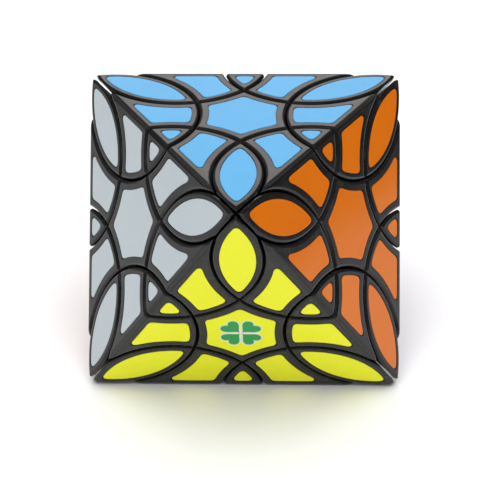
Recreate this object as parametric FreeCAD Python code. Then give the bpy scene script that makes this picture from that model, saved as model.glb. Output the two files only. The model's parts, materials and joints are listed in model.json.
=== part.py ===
import FreeCAD, Part
import math
import os

# An eight-sided twisty puzzle. Twenty-four ball-shaped cuts, two to each edge, part it into
# face centres, leaf-shaped petals, arms and edge middles. Every cut is a ball whose middle
# lies on a turning axis, so what is inside one ball can turn about that axis.
# The model is made with its corners on X, Y and Z, then stood on one face.

# Driving dimensions, in millimetres
edge_length = 90.0
corner_reach = edge_length / math.sqrt(2.0)   # middle of the puzzle to a corner
ball_step = 0.4166 * corner_reach             # a ball's middle is ball_step * (2 * near + far)
ball_radius = 0.4320 * corner_reach
gap = 0.4                                     # between two neighbouring pieces
cap_thickness = 2.0                           # glued-on outer covers
outline_rounding = 0.8                        # outer edge of every piece, along the cuts
ridge_rounding = 1.6                          # along the puzzle's own edges
corner_relief_radius = 12.0                   # clears the face centres from under the petals

# Hidden feet that hook the loose pieces under their neighbours
foot_bottom = 33.6                            # distances from the middle of the puzzle
foot_top = 37.2
foot_spread = 1.6                             # how far a foot reaches past its piece
foot_clearance = 0.25

# Stickers lie in shallow recesses
sticker_inset = 2.0                           # from a piece's outline
ridge_inset = 2.0                             # from the puzzle's edges
sticker_corner = 1.0
recess_depth = 0.2
sticker_lift = 0.05                           # the sticker stays this far below the surface
recess_overshoot = 1.0                        # the cut for a recess starts outside the surface

# The core and its posts
core_facet = 15.0                             # middle of the puzzle to each flat of the core
core_clearance = 0.4
post_radius = 3.0
post_root = 13.0
post_end = 31.5
post_clearance = 0.5

# Screw, spring and washer on each turning axis
pilot_radius = 1.5
pilot_start = 20.0
screw_radius = 1.45
screw_start = 20.5
screw_head_radius = 3.4
screw_head_height = 1.8
head_rounding = 0.5
driver_slot_width = 0.8
driver_slot_depth = 0.9
driver_slot_reach = 0.65                      # of the head's radius
bore_radius = 1.85
well_radius = 4.2
well_floor = 36.6
spring_start = 36.7
spring_height = 2.2
spring_inner_radius = 1.9
spring_outer_radius = 3.5
spring_plate = 0.5                            # width of the dished plates, across the axis
washer_radius = 3.8
washer_bore_radius = 1.55
washer_thickness = 0.4

# Screws that hold the face centres
centre_bore_radius = 1.6
centre_screw_radius = 1.3
centre_screw_start = 9.0
centre_pilot_radius = 1.35
centre_pilot_start = 8.5
centre_well_radius = 4.0
centre_well_floor = 28.0
centre_head_radius = 3.2
centre_head_height = 2.0

vector = FreeCAD.Vector
origin = vector(0, 0, 0)
X = vector(1, 0, 0)
Y = vector(0, 1, 0)
Z = vector(0, 0, 1)
beyond = 2.0 * corner_reach
half_gap = gap / 2.0
near_enough = 1e-4                            # for points on a face or an edge
sewing_tolerance = 1e-6

corner_names = {
    (1, 0, 0): "top_front",
    (0, 1, 0): "top_right",
    (0, 0, 1): "top_left",
    (-1, 0, 0): "low_back",
    (0, -1, 0): "low_left",
    (0, 0, -1): "low_right",
}


def corner_name(corner):
    return corner_names[(round(corner.x), round(corner.y), round(corner.z))]


def frame_placement(first, second, third, position):
    """Placement that carries X, Y, Z to the three directions and the origin to position."""
    return FreeCAD.Placement(FreeCAD.Matrix(
        first.x, second.x, third.x, position.x,
        first.y, second.y, third.y, position.y,
        first.z, second.z, third.z, position.z,
        0, 0, 0, 1))


# Standing on one face: the three upper corners are level, with one towards the front.
row_placement = frame_placement(
    vector(0, -math.sqrt(2.0 / 3.0), math.sqrt(1.0 / 3.0)),
    vector(math.sqrt(0.5), math.sqrt(1.0 / 6.0), math.sqrt(1.0 / 3.0)),
    vector(-math.sqrt(0.5), math.sqrt(1.0 / 6.0), math.sqrt(1.0 / 3.0)),
    vector(0, 0, corner_reach / math.sqrt(3.0)))


def turned(shape, near, far):
    """Copy of a master piece, carried from corner X towards Y to corner near towards far."""
    copy = shape.copy()
    copy.Placement = frame_placement(near, far, near.cross(far), origin)
    return copy


def axis_of(near, far):
    return (near * 2 + far).normalize()


def ball(near, far, radius):
    """Cutting ball near one corner, on the side of another. Its seam faces outwards."""
    axis = axis_of(near, far)
    side = near.cross(far)
    shape = Part.makeSphere(radius)
    shape.Placement = frame_placement(axis, side.cross(axis), side, (near * 2 + far) * ball_step)
    return shape


def octahedron(reach):
    faces = []
    for x in (X, -X):
        for y in (Y, -Y):
            for z in (Z, -Z):
                corners = [x * reach, y * reach, z * reach, x * reach]
                faces.append(Part.Face(Part.makePolygon(corners)))
    shape = Part.makeSolid(Part.makeShell(faces))
    shape.fix(sewing_tolerance, sewing_tolerance, sewing_tolerance)
    return shape


def facet_block(reach):
    """Block with twenty-four flats, one square to each turning axis, at a given distance."""
    # A cube with a low pyramid on each side: this is half the cube's width.
    side = reach * math.sqrt(5.0) / 3.0
    faces = []
    for a in (X, Y, Z, -X, -Y, -Z):
        for b in (X, Y, Z, -X, -Y, -Z):
            if abs(a.dot(b)) < 0.5:
                c = a.cross(b)
                corners = [a * 1.5 * side, (a + b + c) * side, (a + b - c) * side]
                faces.append(Part.Face(Part.makePolygon(corners + [corners[0]])))
    shape = Part.makeSolid(Part.makeShell(faces))
    shape.fix(sewing_tolerance, sewing_tolerance, sewing_tolerance)
    return shape


def biggest(shape):
    return max(shape.Solids, key=lambda solid: solid.Volume)


def shell(inner, outer):
    return Part.makeSphere(outer).cut(Part.makeSphere(inner))


def on_skin(edge):
    """True for an edge that lies on the puzzle's own faces."""
    points = edge.discretize(5)
    return all(abs(abs(p.x) + abs(p.y) + abs(p.z) - corner_reach) < near_enough for p in points)


def on_ridge(edge):
    """True for a stretch of one of the puzzle's twelve edges."""
    points = edge.discretize(5)
    return on_skin(edge) and all(min(abs(p.x), abs(p.y), abs(p.z)) < near_enough for p in points)


def rounded(shape):
    """Round the ridge, then the outlines on the faces."""
    ridges = [edge for edge in shape.Edges if on_ridge(edge)]
    if ridges:
        shape = shape.makeFillet(ridge_rounding, ridges)
    return shape.makeFillet(outline_rounding, [edge for edge in shape.Edges if on_skin(edge)])


body = octahedron(corner_reach)
inside_covers = octahedron(corner_reach - cap_thickness * math.sqrt(3.0))
foot_shell = shell(foot_bottom, foot_top)
channel_shell = shell(foot_bottom - foot_clearance, foot_top + foot_clearance)


def foot(first_ball, second_ball):
    """Wide foot, where two balls overlap, within the shell that all the feet share."""
    return ball(*first_ball, ball_radius + foot_spread).common(
        ball(*second_ball, ball_radius + foot_spread)).common(foot_shell)


def channel(near, far):
    """Room that the feet sweep as the pieces inside one ball turn."""
    return ball(near, far, ball_radius + foot_spread + foot_clearance).common(channel_shell)


# ---------------------------------------------------------------- stickers

def disc(near, far, radius, normal):
    """Where a cutting ball meets the face plane with this normal."""
    middle = (near * 2 + far) * ball_step
    height = corner_reach / math.sqrt(3.0) - middle.dot(normal)
    circle = Part.Circle(middle + normal * height, normal, math.sqrt(radius ** 2 - height ** 2))
    return Part.Face(Part.Wire([circle.toShape()]))


def sticker_area(kind, near, far, third):
    """Outline of the sticker on one piece, in the face that holds the three corners."""
    normal = (near + far + third).normalize()
    # The offset below moves every side in by sticker_inset, the sides along the edges too.
    trim = (ridge_inset - sticker_inset) * math.sqrt(6.0)
    shift = (near + far + third) * (trim / 3.0)
    corners = [corner * (corner_reach - trim) + shift for corner in (near, far, third)]
    area = Part.Face(Part.makePolygon(corners + [corners[0]]))
    if kind == "centre":
        inside = []
        outside = [(near, far), (far, near), (near, third), (third, near), (far, third), (third, far)]
    elif kind == "petal":
        inside = [(near, far), (near, third)]
        outside = []
    elif kind == "arm":
        inside = [(near, far)]
        outside = [(near, third), (near, -third), (far, near)]
    else:
        inside = [(near, far), (far, near)]
        outside = []
    for pair in inside:
        area = area.common(disc(*pair, ball_radius - half_gap, normal))
    for pair in outside:
        area = area.cut(disc(*pair, ball_radius + half_gap, normal))
    face = max(area.Faces, key=lambda part: part.Area)
    small = face.makeOffset2D(-(sticker_inset + sticker_corner))
    return small.makeOffset2D(sticker_corner), normal


def plate(area, normal, low, high):
    """Flat plate over an area, from one depth below the face to another."""
    shape = area.copy()
    shape.translate(normal * -low)
    return shape.extrude(normal * (low - high))


def sticker_pair(kind, near, far, third):
    """The sticker, and the recess that it lies in."""
    area, normal = sticker_area(kind, near, far, third)
    sticker = plate(area, normal, recess_depth, sticker_lift)
    recess = plate(area, normal, recess_depth, -recess_overshoot)
    return sticker.Solids[0], recess


# ---------------------------------------------------------------- master pieces

def make_petal():
    """Leaf at corner X, in the face X, Y, Z, with its foot."""
    leaf = body.common(ball(X, Y, ball_radius - half_gap)).common(ball(X, Z, ball_radius - half_gap))
    leaf = rounded(biggest(leaf))
    leaf = leaf.cut([ball(X, -Y, ball_radius + half_gap), ball(X, -Z, ball_radius + half_gap)])
    sticker, recess = sticker_pair("petal", X, Y, Z)
    leaf = biggest(leaf.cut(recess))
    return biggest(leaf.fuse(foot((X, Y), (X, Z))).removeSplitter()), [sticker]


def make_middle():
    """Small piece across the middle of the edge from X to Y, with its foot."""
    piece = body.common(ball(X, Y, ball_radius - half_gap)).common(ball(Y, X, ball_radius - half_gap))
    piece = rounded(biggest(piece))
    stickers = []
    for third in (Z, -Z):
        sticker, recess = sticker_pair("middle", X, Y, third)
        piece = piece.cut(recess)
        stickers.append(sticker)
    return biggest(piece.fuse(foot((X, Y), (Y, X))).removeSplitter()), stickers


def make_arm():
    """Base and glued cover of the arm from X towards Y, which turns on a core post."""
    piece = body.common(ball(X, Y, ball_radius - half_gap))
    neighbours = [(X, Z), (X, -Z), (Y, X)]
    piece = piece.cut([ball(*pair, ball_radius + half_gap) for pair in neighbours])
    piece = rounded(biggest(piece))
    stickers = []
    for third in (Z, -Z):
        sticker, recess = sticker_pair("arm", X, Y, third)
        piece = piece.cut(recess)
        stickers.append(sticker)
    piece = piece.cut([channel(*pair) for pair in neighbours])
    cover = biggest(piece.cut(inside_covers))
    axis = axis_of(X, Y)
    bore = Part.makeCylinder(bore_radius, beyond, origin, axis)
    well = Part.makeCylinder(well_radius, beyond, axis * well_floor, axis)
    base = biggest(piece.common(inside_covers).cut([bore, well]))
    return base, cover, stickers


def make_centre():
    """Pillar and glued cover of one face centre, in the face X, Y, Z."""
    octant = Part.makeBox(beyond, beyond, beyond, vector(half_gap, half_gap, half_gap))
    piece = body.common(octant)
    around = [(a, b) for a in (X, Y, Z) for b in (X, Y, Z) if a != b]
    piece = piece.cut([ball(*pair, ball_radius + half_gap) for pair in around])
    for a in (X, Y, Z):
        piece = piece.cut(Part.makeCylinder(corner_relief_radius, beyond, a * foot_top, a))
    piece = rounded(biggest(piece))
    sticker, recess = sticker_pair("centre", X, Y, Z)
    piece = piece.cut(recess)
    piece = piece.cut([channel(*pair) for pair in around])
    cover = biggest(piece.cut(inside_covers))
    out = vector(1, 1, 1).normalize()
    hollows = [facet_block(core_facet + core_clearance)]
    for pair in around:
        hollows.append(Part.makeCylinder(post_radius + post_clearance, beyond, origin, axis_of(*pair)))
    hollows.append(Part.makeCylinder(centre_bore_radius, beyond, origin, out))
    hollows.append(Part.makeCylinder(centre_well_radius, beyond, out * centre_well_floor, out))
    pillar = biggest(piece.common(inside_covers).cut(hollows))
    return pillar, cover, [sticker]


def make_core(corner_pairs, face_directions):
    """Block with a hollow post for each arm and a hole for each face centre's screw."""
    posts = []
    holes = []
    for pair in corner_pairs:
        axis = axis_of(*pair)
        root = axis * post_root
        posts.append(Part.makeCylinder(post_radius, post_end - post_root, root, axis))
        holes.append(Part.makeCylinder(pilot_radius, beyond, axis * pilot_start, axis))
    shape = facet_block(core_facet).fuse(posts)
    for out in face_directions:
        start = out * centre_pilot_start
        holes.append(Part.makeCylinder(centre_pilot_radius, beyond, start, out))
    return shape.cut(holes).removeSplitter()


def make_screw(axis, start, head_start, shaft_radius, head_radius, head_height):
    """Pan-head screw with a cross recess, along one axis."""
    shaft = Part.makeCylinder(shaft_radius, head_start - start, axis * start, axis)
    head = Part.makeCylinder(head_radius, head_height, axis * head_start, axis)
    top_edges = [edge for edge in head.Edges if len(edge.Vertexes) == 1
                 and edge.CenterOfMass.dot(axis) > head_start + head_height / 2.0]
    head = head.makeFillet(head_rounding, top_edges)
    slots = []
    for angle in (0, 90):
        slot = Part.makeBox(2 * head_radius, driver_slot_width, driver_slot_depth,
                            vector(-head_radius, -driver_slot_width / 2.0, 0))
        slot = slot.common(Part.makeCylinder(head_radius * driver_slot_reach, driver_slot_depth))
        slot.rotate(origin, Z, angle)
        slot.Placement = FreeCAD.Placement(
            axis * (head_start + head_height - driver_slot_depth),
            FreeCAD.Rotation(Z, axis)).multiply(slot.Placement)
        slots.append(slot)
    return shaft.fuse(head).cut(slots).removeSplitter()


def make_spring(axis):
    """Pair of dished spring plates in one, between the arm and the washer."""
    middle = spring_height / 2.0
    profile = [(spring_inner_radius, 0), (spring_inner_radius + spring_plate, 0),
               (spring_outer_radius, middle), (spring_inner_radius + spring_plate, spring_height),
               (spring_inner_radius, spring_height), (spring_outer_radius - spring_plate, middle)]
    points = [vector(radius, 0, height) for radius, height in profile]
    ring = Part.Face(Part.makePolygon(points + [points[0]])).revolve(origin, Z, 360)
    ring.Placement = FreeCAD.Placement(axis * spring_start, FreeCAD.Rotation(Z, axis))
    return ring.Solids[0]


def make_washer(axis):
    start = axis * (spring_start + spring_height)
    disc_shape = Part.makeCylinder(washer_radius, washer_thickness, start, axis)
    return disc_shape.cut(Part.makeCylinder(washer_bore_radius, washer_thickness, start, axis))


# ---------------------------------------------------------------- assembly

def write(name, solids):
    placed = []
    for solid in solids:
        copy = solid.copy()
        copy.Placement = row_placement.multiply(copy.Placement)
        placed.append(copy)
    Part.makeCompound(placed).exportStep("parts/" + name + ".step")


def main():
    os.makedirs("parts", exist_ok=True)
    directions = [X, Y, Z, -X, -Y, -Z]
    pairs = [(a, b) for a in directions for b in directions if abs(a.dot(b)) < 0.5]
    # A layer that turns has its far corner on the next axis after its near corner's.
    following = {0: 1, 1: 2, 2: 0}
    turning = [(a, b) for a, b in pairs
               if following[directions.index(a) % 3] == directions.index(b) % 3]
    still = [pair for pair in pairs if pair not in turning]
    faces = []
    for sx in (1, -1):
        for sy in (1, -1):
            for sz in (1, -1):
                if sx * sy * sz > 0:
                    faces.append((X * sx, Y * sy))
                else:
                    faces.append((Y * sy, X * sx))

    petal, petal_stickers = make_petal()
    middle, middle_stickers = make_middle()
    arm, arm_cover, arm_stickers = make_arm()
    pillar, pillar_cover, pillar_stickers = make_centre()

    for near, far in turning:
        third = near.cross(far)
        label = corner_name(near) + "_to_" + corner_name(far)
        leaves = [(near, far), (near, -third)]
        write("arm_" + label, [turned(arm, near, far), turned(arm_cover, near, far)])
        write("petals_" + label, [turned(petal, *leaf) for leaf in leaves])
        write("edge_middle_" + label, [turned(middle, near, far)])
        stickers = [turned(one, near, far) for one in arm_stickers + middle_stickers]
        for leaf in leaves:
            stickers += [turned(one, *leaf) for one in petal_stickers]
        write("stickers_" + label, stickers)

    write("fixed_arms", [turned(arm, *pair) for pair in still])
    write("fixed_arm_covers", [turned(arm_cover, *pair) for pair in still])
    write("fixed_arm_stickers", [turned(one, *pair) for pair in still for one in arm_stickers])
    write("face_centres", [turned(pillar, *face) for face in faces])
    write("face_centre_covers", [turned(pillar_cover, *face) for face in faces])
    write("face_centre_stickers", [turned(pillar_stickers[0], *face) for face in faces])

    outward = [(a + b + a.cross(b)).normalize() for a, b in faces]
    write("core", [make_core(pairs, outward)])
    axes = [axis_of(*pair) for pair in pairs]
    head_start = spring_start + spring_height + washer_thickness
    write("arm_screws", [make_screw(axis, screw_start, head_start, screw_radius,
                                    screw_head_radius, screw_head_height) for axis in axes])
    write("arm_springs", [make_spring(axis) for axis in axes])
    write("arm_washers", [make_washer(axis) for axis in axes])
    write("centre_screws", [make_screw(out, centre_screw_start, centre_well_floor,
                                       centre_screw_radius, centre_head_radius,
                                       centre_head_height) for out in outward])


main()
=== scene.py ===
import bmesh
import bpy
import json
import math
from mathutils import Matrix, Vector


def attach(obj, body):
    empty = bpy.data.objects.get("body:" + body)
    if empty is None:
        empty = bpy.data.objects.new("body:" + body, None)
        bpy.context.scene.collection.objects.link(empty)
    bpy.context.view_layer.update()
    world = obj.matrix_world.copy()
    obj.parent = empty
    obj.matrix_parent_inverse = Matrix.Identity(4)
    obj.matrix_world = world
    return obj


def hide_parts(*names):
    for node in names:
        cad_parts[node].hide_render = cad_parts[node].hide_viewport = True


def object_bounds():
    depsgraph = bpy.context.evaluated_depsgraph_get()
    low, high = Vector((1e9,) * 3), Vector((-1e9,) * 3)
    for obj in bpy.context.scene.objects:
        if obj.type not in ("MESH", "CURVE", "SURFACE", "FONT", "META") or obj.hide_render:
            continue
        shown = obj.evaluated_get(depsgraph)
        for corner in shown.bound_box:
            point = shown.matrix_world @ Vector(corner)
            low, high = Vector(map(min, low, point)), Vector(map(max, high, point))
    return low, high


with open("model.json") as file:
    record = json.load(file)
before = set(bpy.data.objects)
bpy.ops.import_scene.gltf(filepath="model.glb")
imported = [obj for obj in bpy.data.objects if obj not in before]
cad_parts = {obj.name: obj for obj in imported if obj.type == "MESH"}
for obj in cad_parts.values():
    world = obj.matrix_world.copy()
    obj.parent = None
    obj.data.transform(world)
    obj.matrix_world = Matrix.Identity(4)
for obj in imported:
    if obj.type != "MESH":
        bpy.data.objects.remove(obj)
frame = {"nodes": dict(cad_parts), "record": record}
cad_low, cad_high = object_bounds()

# ---------------------------------------------------------------- the puzzle's geometry
MM = 0.001
REACH = (cad_high.z - cad_low.z) * math.sqrt(3.0) / 2.0      # middle of the puzzle to a corner
MIDDLE = Vector((0.0, 0.0, (cad_low.z + cad_high.z) / 2.0))
ROOT = "frame"
CORNER_X = Vector((0.0, -math.sqrt(2.0 / 3.0), math.sqrt(1.0 / 3.0)))
CORNER_Y = Vector((math.sqrt(0.5), math.sqrt(1.0 / 6.0), math.sqrt(1.0 / 3.0)))
CORNER_Z = Vector((-math.sqrt(0.5), math.sqrt(1.0 / 6.0), math.sqrt(1.0 / 3.0)))

# Which face has which colour, by the signs of its three corners.
FACE_COLOURS = {
    (1, 1, 1): "blue",
    (1, -1, 1): "grey",
    (1, 1, -1): "orange",
    (1, -1, -1): "yellow",
    (-1, 1, 1): "white",
    (-1, -1, 1): "red",
    (-1, 1, -1): "purple",
    (-1, -1, -1): "green",
}
FACE_NORMALS = {
    colour: (CORNER_X * a + CORNER_Y * b + CORNER_Z * c).normalized()
    for (a, b, c), colour in FACE_COLOURS.items()
}

# Linear colours of the vinyl: the film itself, and a slightly different tone for its mottling.
STICKER_COLOURS = {
    "blue": ((0.002, 0.262, 0.540), (0.005, 0.277, 0.560)),
    "grey": ((0.510, 0.575, 0.610), (0.530, 0.595, 0.630)),
    "orange": ((0.750, 0.168, 0.002), (0.770, 0.180, 0.003)),
    "yellow": ((0.950, 0.970, 0.004), (0.965, 0.985, 0.008)),
    "white": ((0.800, 0.800, 0.790), (0.830, 0.830, 0.820)),
    "red": ((0.560, 0.012, 0.018), (0.600, 0.018, 0.024)),
    "purple": ((0.190, 0.040, 0.360), (0.210, 0.050, 0.390)),
    "green": ((0.010, 0.330, 0.070), (0.015, 0.360, 0.085)),
}


# ---------------------------------------------------------------- materials
# A mix node's sockets for colours; those for numbers and vectors come before them.
MIX_COLOUR_A, MIX_COLOUR_B, MIX_COLOUR_RESULT = 6, 7, 2

# Where a cloud of noise starts and stops to show, as shares of its range.
CLOUD_SPREAD = {"start": 0.35, "end": 0.65}
GLOSS_SPREAD = {"start": 0.3, "end": 0.7}


def new_material(name):
    material = bpy.data.materials.new(name)
    material.use_nodes = True
    nodes = material.node_tree.nodes
    return material, nodes, material.node_tree.links, nodes["Principled BSDF"]


def noise(nodes, links, scale, detail):
    """Solid noise in the object's own metres; scale is in waves per metre."""
    place = nodes.new("ShaderNodeTexCoord")
    texture = nodes.new("ShaderNodeTexNoise")
    texture.inputs["Scale"].default_value = scale
    texture.inputs["Detail"].default_value = detail
    links.new(place.outputs["Object"], texture.inputs["Vector"])
    return texture.outputs["Fac"]


def ramp(nodes, links, source, low, high, start=0.0, end=1.0):
    """A value that goes from low to high as source goes from start to end."""
    node = nodes.new("ShaderNodeMapRange")
    node.inputs["From Min"].default_value = start
    node.inputs["From Max"].default_value = end
    node.inputs["To Min"].default_value = low
    node.inputs["To Max"].default_value = high
    links.new(source, node.inputs["Value"])
    return node.outputs["Result"]


def mix_colours(nodes, links, factor, first, second):
    """Colour between first and second, each a plain colour or another node's output."""
    node = nodes.new("ShaderNodeMix")
    node.data_type = "RGBA"
    links.new(factor, node.inputs["Factor"])
    for socket, colour in ((node.inputs[MIX_COLOUR_A], first), (node.inputs[MIX_COLOUR_B], second)):
        if isinstance(colour, tuple):
            socket.default_value = (*colour, 1.0)
        else:
            links.new(colour, socket)
    return node.outputs[MIX_COLOUR_RESULT]


def add_bump(nodes, links, shader, heights):
    """Chain of bumps: each row is (source, strength, distance in metres)."""
    previous = None
    for source, strength, distance in heights:
        node = nodes.new("ShaderNodeBump")
        node.inputs["Strength"].default_value = strength
        node.inputs["Distance"].default_value = distance
        links.new(source, node.inputs["Height"])
        if previous is not None:
            links.new(previous, node.inputs["Normal"])
        previous = node.outputs["Normal"]
    links.new(previous, shader.inputs["Normal"])


def moulded_plastic():
    """Semi-gloss black plastic: mottled gloss, fine grain, edges rubbed a little lighter."""
    material, nodes, links, shader = new_material("black_moulded_plastic")
    cloud = noise(nodes, links, scale=90.0, detail=4.0)
    mottle = ramp(nodes, links, cloud, low=0.0, high=1.0, **CLOUD_SPREAD)
    base = mix_colours(nodes, links, mottle, (0.0075, 0.0075, 0.0078), (0.0115, 0.0112, 0.0112))
    geometry = nodes.new("ShaderNodeNewGeometry")
    scuff = noise(nodes, links, scale=1400.0, detail=2.0)
    edge = ramp(nodes, links, geometry.outputs["Pointiness"],
                low=0.0, high=0.55, start=0.515, end=0.56)
    worn = nodes.new("ShaderNodeMath")
    worn.operation = "MULTIPLY"
    links.new(edge, worn.inputs[0])
    links.new(scuff, worn.inputs[1])
    colour = mix_colours(nodes, links, worn.outputs[0], base, (0.060, 0.058, 0.057))
    links.new(colour, shader.inputs["Base Color"])
    handling = noise(nodes, links, scale=260.0, detail=5.0)
    links.new(ramp(nodes, links, handling, low=0.15, high=0.24, **GLOSS_SPREAD),
              shader.inputs["Roughness"])
    shader.inputs["Specular IOR Level"].default_value = 0.33
    grain = noise(nodes, links, scale=3200.0, detail=2.0)
    sink = noise(nodes, links, scale=130.0, detail=2.0)
    add_bump(nodes, links, shader, [(grain, 0.10, 0.05 * MM), (sink, 0.10, 0.3 * MM)])
    return material


def vinyl(name, colour, tone):
    """Smooth sticker film with a trace of mottling and a slightly uneven, glossy face."""
    material, nodes, links, shader = new_material(name)
    cloud = noise(nodes, links, scale=60.0, detail=3.0)
    mottle = ramp(nodes, links, cloud, low=0.0, high=1.0, **CLOUD_SPREAD)
    links.new(mix_colours(nodes, links, mottle, colour, tone), shader.inputs["Base Color"])
    handling = noise(nodes, links, scale=400.0, detail=4.0)
    links.new(ramp(nodes, links, handling, low=0.12, high=0.18, **GLOSS_SPREAD),
              shader.inputs["Roughness"])
    shader.inputs["Specular IOR Level"].default_value = 0.36
    wave = noise(nodes, links, scale=110.0, detail=1.0)
    grain = noise(nodes, links, scale=900.0, detail=1.0)
    add_bump(nodes, links, shader, [(wave, 0.10, 0.4 * MM), (grain, 0.02, 0.04 * MM)])
    return material


def steel(name, colour, scale):
    """Bare or plated steel, with colour and gloss that vary together."""
    material, nodes, links, shader = new_material(name)
    cloud = noise(nodes, links, scale=scale, detail=4.0)
    brighter = tuple(part * 1.2 for part in colour)
    links.new(mix_colours(nodes, links, cloud, colour, brighter), shader.inputs["Base Color"])
    links.new(ramp(nodes, links, cloud, low=0.25, high=0.45), shader.inputs["Roughness"])
    shader.inputs["Metallic"].default_value = 1.0
    grain = noise(nodes, links, scale=scale * 3.0, detail=2.0)
    add_bump(nodes, links, shader, [(grain, 0.1, 0.04 * MM)])
    return material


def nylon():
    """Matt off-white nylon of the core."""
    material, nodes, links, shader = new_material("moulded_nylon")
    cloud = noise(nodes, links, scale=200.0, detail=4.0)
    links.new(mix_colours(nodes, links, cloud, (0.50, 0.50, 0.48), (0.60, 0.60, 0.57)),
              shader.inputs["Base Color"])
    links.new(ramp(nodes, links, cloud, low=0.45, high=0.6), shader.inputs["Roughness"])
    grain = noise(nodes, links, scale=1500.0, detail=3.0)
    add_bump(nodes, links, shader, [(grain, 0.15, 0.1 * MM)])
    return material


def paper_floor():
    """Plain pale sweep with a faint tooth."""
    material, nodes, links, shader = new_material("pale_floor")
    cloud = noise(nodes, links, scale=12.0, detail=2.0)
    links.new(mix_colours(nodes, links, cloud, (0.90, 0.90, 0.90), (0.92, 0.92, 0.92)),
              shader.inputs["Base Color"])
    links.new(ramp(nodes, links, cloud, low=0.33, high=0.39), shader.inputs["Roughness"])
    shader.inputs["Specular IOR Level"].default_value = 0.3
    tooth = noise(nodes, links, scale=900.0, detail=3.0)
    add_bump(nodes, links, shader, [(tooth, 0.03, 0.1 * MM)])
    return material


def dark_card():
    """Nearly black card of the studio's flag."""
    material, nodes, links, shader = new_material("dark_card")
    weave = noise(nodes, links, scale=8.0, detail=2.0)
    links.new(mix_colours(nodes, links, weave, (0.01, 0.01, 0.01), (0.02, 0.02, 0.02)),
              shader.inputs["Base Color"])
    return material


# ---------------------------------------------------------------- stickers
STICKER_GAP = 0.18 * MM          # dark joint round each sticker, inside its recess
RIM = ((0.00 * MM, -0.20 * MM), (0.00 * MM, -0.08 * MM),
       (0.03 * MM, -0.03 * MM), (0.10 * MM, -0.01 * MM))   # (inset, height against the face)
WELD_WITHIN = 0.002 * MM
FLAT_WITHIN = 0.01 * MM          # how level a solid's outer face is
OUTLINE_STEP = 0.25 * MM
FEWEST_STEPS = 24
OUTLINE_PASSES = 14              # more passes make rounder corners
FACE_HEIGHT = REACH / math.sqrt(3.0)      # middle of the puzzle to a face

# The clover's film layers: name, colour, growth of the outline, lowest and highest height.
CLOVER_LAYERS = (
    ("clover_edge", "white", 0.35 * MM, -0.010 * MM, 0.004 * MM),
    ("clover_leaves", "green", 0.0, 0.004 * MM, 0.018 * MM),
)
LEAF_SIZE = 6.6 * MM
LEAF_WIDTH = 0.88                # shares of the leaf's size
LEAF_LENGTH = 0.92
LEAF_START = 0.35 * MM           # from the middle of the clover to a leaf's point
LEAF_STEPS = 40


def islands(mesh_object):
    """A CAD node's mesh with doubled corners joined, and the list of faces of each solid in it."""
    work = bmesh.new()
    work.from_mesh(mesh_object.data)
    bmesh.ops.remove_doubles(work, verts=work.verts, dist=WELD_WITHIN)
    left = set(work.faces)
    found = []
    for first in work.faces:     # in the mesh's own order, so that each run gives the same
        if first not in left:
            continue
        left.remove(first)
        stack = [first]
        island = []
        while stack:
            face = stack.pop()
            island.append(face)
            for edge in face.edges:
                for other in edge.link_faces:
                    if other in left:
                        left.remove(other)
                        stack.append(other)
        found.append(island)
    return work, found


def face_colour(points):
    """Colour of the puzzle face that a group of points lies nearest to."""
    middle = sum(points, Vector()) / len(points) - MIDDLE
    return max(FACE_NORMALS, key=lambda colour: middle.dot(FACE_NORMALS[colour]))


def outline(island, normal):
    """Ordered outline of a flat solid's outer face."""
    heights = {vert: (vert.co - MIDDLE).dot(normal) for face in island for vert in face.verts}
    top = max(heights.values()) - FLAT_WITHIN
    cap = [face for face in island if all(heights[vert] > top for vert in face.verts)]
    inside = set(cap)
    ahead = {}
    for face in cap:
        for loop in face.loops:
            if sum(other in inside for other in loop.edge.link_faces) == 1:
                ahead[loop.vert] = loop.link_loop_next.vert
    start = next(iter(ahead))
    order = [start]
    while ahead[order[-1]] is not start:
        order.append(ahead[order[-1]])
    return [vert.co - normal * ((vert.co - MIDDLE).dot(normal) - FACE_HEIGHT) for vert in order]


def softened(points):
    """The outline, walked in even steps and smoothed, which rounds its corners a little more."""
    lengths = [(points[(index + 1) % len(points)] - point).length
               for index, point in enumerate(points)]
    count = max(FEWEST_STEPS, round(sum(lengths) / OUTLINE_STEP))
    step = sum(lengths) / count
    even = []
    walked = 0.0
    for index, point in enumerate(points):
        after = points[(index + 1) % len(points)]
        while len(even) < count and len(even) * step < walked + lengths[index]:
            even.append(point.lerp(after, (len(even) * step - walked) / lengths[index]))
        walked += lengths[index]
    for _ in range(OUTLINE_PASSES):
        even = [(even[index - 1] + point * 2.0 + even[(index + 1) % len(even)]) / 4.0
                for index, point in enumerate(even)]
    return even


def inset(points, normal, distance):
    """The outline moved inwards, corner by corner."""
    moved = []
    for index, point in enumerate(points):
        before = (point - points[index - 1]).normalized()
        after = (points[(index + 1) % len(points)] - point).normalized()
        inward = normal.cross(before + after).normalized()
        moved.append(point + inward * distance)
    return moved


def add_film(target, points, normal, layers):
    """Closed thin film with a rounded rim: one ring for each (inset, height)."""
    rings = []
    for distance, height in layers:
        ring = inset(points, normal, distance)
        rings.append([target.verts.new(point + normal * height) for point in ring])
    count = len(points)
    for lower, upper in zip(rings, rings[1:]):
        for index in range(count):
            after = (index + 1) % count
            face = target.faces.new((lower[index], lower[after], upper[after], upper[index]))
            face.smooth = True
    caps = [target.faces.new(rings[-1]), target.faces.new(list(reversed(rings[0])))]
    bmesh.ops.triangulate(target, faces=caps)


def add_object(target, name, material):
    """The finished mesh as an object in the scene."""
    mesh = bpy.data.meshes.new(name)
    target.to_mesh(mesh)
    target.free()
    mesh.materials.append(material)
    made = bpy.data.objects.new(name, mesh)
    bpy.context.scene.collection.objects.link(made)
    return made


def finish_piece(target, name, material, body):
    piece = add_object(target, name, material)
    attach(piece, body)
    return piece


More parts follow.
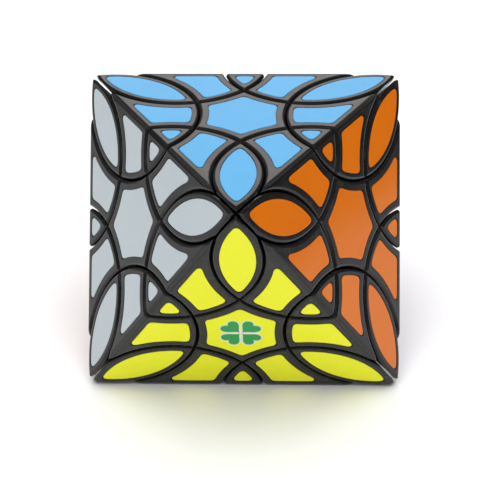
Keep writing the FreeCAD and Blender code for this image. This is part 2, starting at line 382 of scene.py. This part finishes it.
def make_stickers(node, body, materials):
    """New pieces, one for each colour, in place of a node of stickers."""
    work, solids = islands(frame["nodes"][node])
    films = {}
    for island in solids:
        colour = face_colour([vert.co for face in island for vert in face.verts])
        normal = FACE_NORMALS[colour]
        points = inset(softened(outline(island, normal)), normal, STICKER_GAP)
        films.setdefault(colour, bmesh.new())
        add_film(films[colour], points, normal, RIM)
    work.free()
    for colour, film in films.items():
        name = node.replace("stickers", "sticker") + "_" + colour
        piece = finish_piece(film, name, materials[colour], body)
        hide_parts(node)


def leaf_outline(spin):
    """Heart with its point at the middle of the clover, in the plane of the face."""
    points = []
    for step in range(LEAF_STEPS):
        turn = 2.0 * math.pi * step / LEAF_STEPS
        x = 0.5 * math.sin(turn) ** 3
        y = (13 * math.cos(turn) - 5 * math.cos(2 * turn) - 2 * math.cos(3 * turn)
             - math.cos(4 * turn) + 17) / 32.0
        x = x * LEAF_SIZE * LEAF_WIDTH
        y = y * LEAF_SIZE * LEAF_LENGTH + LEAF_START
        points.append((x * math.cos(spin) - y * math.sin(spin),
                       x * math.sin(spin) + y * math.cos(spin)))
    return points


def make_clover(materials):
    """Generic four-leaf clover printed on the yellow face centre, white edge under green leaves."""
    normal = FACE_NORMALS["yellow"]
    up = (CORNER_X - normal * CORNER_X.dot(normal)).normalized()
    across = up.cross(normal)
    centre = MIDDLE + normal * FACE_HEIGHT
    for name, colour, grow, low, high in CLOVER_LAYERS:
        target = bmesh.new()
        for leaf in range(4):
            points = [centre + across * x + up * y
                      for x, y in leaf_outline(math.radians(45.0 + 90.0 * leaf))]
            if (points[1] - points[0]).cross(points[2] - points[1]).dot(normal) < 0:
                points.reverse()
            if grow:
                points = inset(points, normal, -grow)
            add_film(target, points, normal, ((0.0, low), (0.0, high)))
        finish_piece(target, name, materials[colour], ROOT)


# ---------------------------------------------------------------- dressing the CAD nodes
def dress(node, material):
    mesh = frame["nodes"][node].data
    mesh.materials.clear()
    mesh.materials.append(material)


def dress_all():
    black = moulded_plastic()
    films = {colour: vinyl("vinyl_" + colour, *tones) for colour, tones in STICKER_COLOURS.items()}
    by_slot = {
        "black_plastic": black,
        "core_plastic": nylon(),
        "screw_steel": steel("zinc_plated_steel", (0.52, 0.52, 0.54), 700.0),
        "spring_steel": steel("spring_steel", (0.42, 0.42, 0.44), 900.0),
        "washer_steel": steel("stamped_steel", (0.48, 0.48, 0.50), 500.0),
    }
    slots = {part["node"]: part["material_slot"] for part in frame["record"]["subparts"]}
    bodies = frame["record"]["behaviour"]["bodies"]
    for body in sorted(bodies):
        for node in bodies[body]:
            if "stickers" in node:
                make_stickers(node, body, films)
                dress(node, films[slots[node].replace("sticker_", "")])
            else:
                dress(node, by_slot[slots[node]])
    make_clover(films)


# ---------------------------------------------------------------- studio
FLOOR_HALF = 3.0                 # metres, as everything in the studio
FLAG_PLACE, FLAG_HALF, FLAG_HEIGHT = 0.32, 0.9, 0.7
WORLD_RADIANCE = 0.14
WHITE = (1.0, 1.0, 1.0)
WARM = (1.0, 0.95, 0.91)

# Lamps: name, place from the puzzle's middle, size, radiance, colour, whether mirrored in gloss.
LAMPS = (
    ("back_softbox", (0.0, 0.75, 0.47), (0.48, 0.34), 2.3, WARM, True),
    ("overhead_softbox", (0.0, -0.05, 0.80), (1.2, 1.0), 3.0, WHITE, False),
    ("front_softbox", (0.0, -1.20, 0.35), (1.2, 0.5), 1.35, WHITE, False),
    ("strip_light", (-0.20, -0.75, 0.85), (0.70, 0.04), 6.0, WHITE, True),
)

CAMERA_PLACE = Vector((0.2490, -6.1234, 4.3990)) * REACH
CAMERA_FORWARD = Vector((-0.03710, 0.84377, -0.53542))
CAMERA_ABOVE = Vector((-0.00465, 0.53564, 0.84443))
LENS, SENSOR = 119.85, 36.0      # millimetres
CLIP = (0.01, 20.0)


def softbox(name, offset, size, radiance, colour, mirrored):
    """Rectangular lamp of a given brightness, aimed at the middle of the puzzle."""
    light = bpy.data.lights.new(name, "AREA")
    light.color = colour
    light.shape = "RECTANGLE"
    light.size, light.size_y = size
    light.energy = radiance * math.pi * size[0] * size[1]
    lamp = bpy.data.objects.new(name, light)
    bpy.context.scene.collection.objects.link(lamp)
    lamp.location = MIDDLE + offset
    lamp.visible_glossy = mirrored
    lamp.rotation_euler = (-offset).to_track_quat("-Z", "Y").to_euler()


def stage_sheet(name, corners, material):
    """Flat four-cornered sheet of the studio, not part of the object."""
    target = bmesh.new()
    target.faces.new([target.verts.new(corner) for corner in corners])
    sheet = add_object(target, name, material)
    return sheet


def make_floor():
    corners = [(x * FLOOR_HALF, y * FLOOR_HALF, 0.0)
               for x, y in ((-1, -1), (1, -1), (1, 1), (-1, 1))]
    stage_sheet("floor", corners, paper_floor())


def make_flag():
    """Dark card to the right, seen only in reflections."""
    corners = [(FLAG_PLACE, -FLAG_HALF, 0.0), (FLAG_PLACE, FLAG_HALF, 0.0),
               (FLAG_PLACE, FLAG_HALF, FLAG_HEIGHT), (FLAG_PLACE, -FLAG_HALF, FLAG_HEIGHT)]
    flag = stage_sheet("flag", corners, dark_card())
    flag.visible_camera = False
    flag.visible_diffuse = False
    flag.visible_shadow = False


def make_studio():
    world = bpy.data.worlds.new("studio")
    bpy.context.scene.world = world
    world.use_nodes = True
    background = world.node_tree.nodes["Background"]
    background.inputs["Color"].default_value = (*WHITE, 1.0)
    background.inputs["Strength"].default_value = WORLD_RADIANCE
    for name, offset, size, radiance, colour, mirrored in LAMPS:
        softbox(name, Vector(offset), size, radiance, colour, mirrored)
    bpy.context.scene.view_settings.view_transform = "Standard"


def make_camera():
    """The camera looks at one corner, a little from above, through a long lens."""
    forward = CAMERA_FORWARD.normalized()
    right = forward.cross(CAMERA_ABOVE).normalized()
    above = right.cross(forward)
    camera = bpy.data.cameras.new("camera")
    camera.lens = LENS
    camera.sensor_width = SENSOR
    camera.clip_start, camera.clip_end = CLIP
    holder = bpy.data.objects.new("camera", camera)
    bpy.context.scene.collection.objects.link(holder)
    turn = Matrix((right, above, -forward)).transposed().to_4x4()
    holder.matrix_world = Matrix.Translation(CAMERA_PLACE) @ turn
    bpy.context.scene.camera = holder


# ---------------------------------------------------------------- the scene
dress_all()
make_floor()
make_flag()
make_studio()
make_camera()
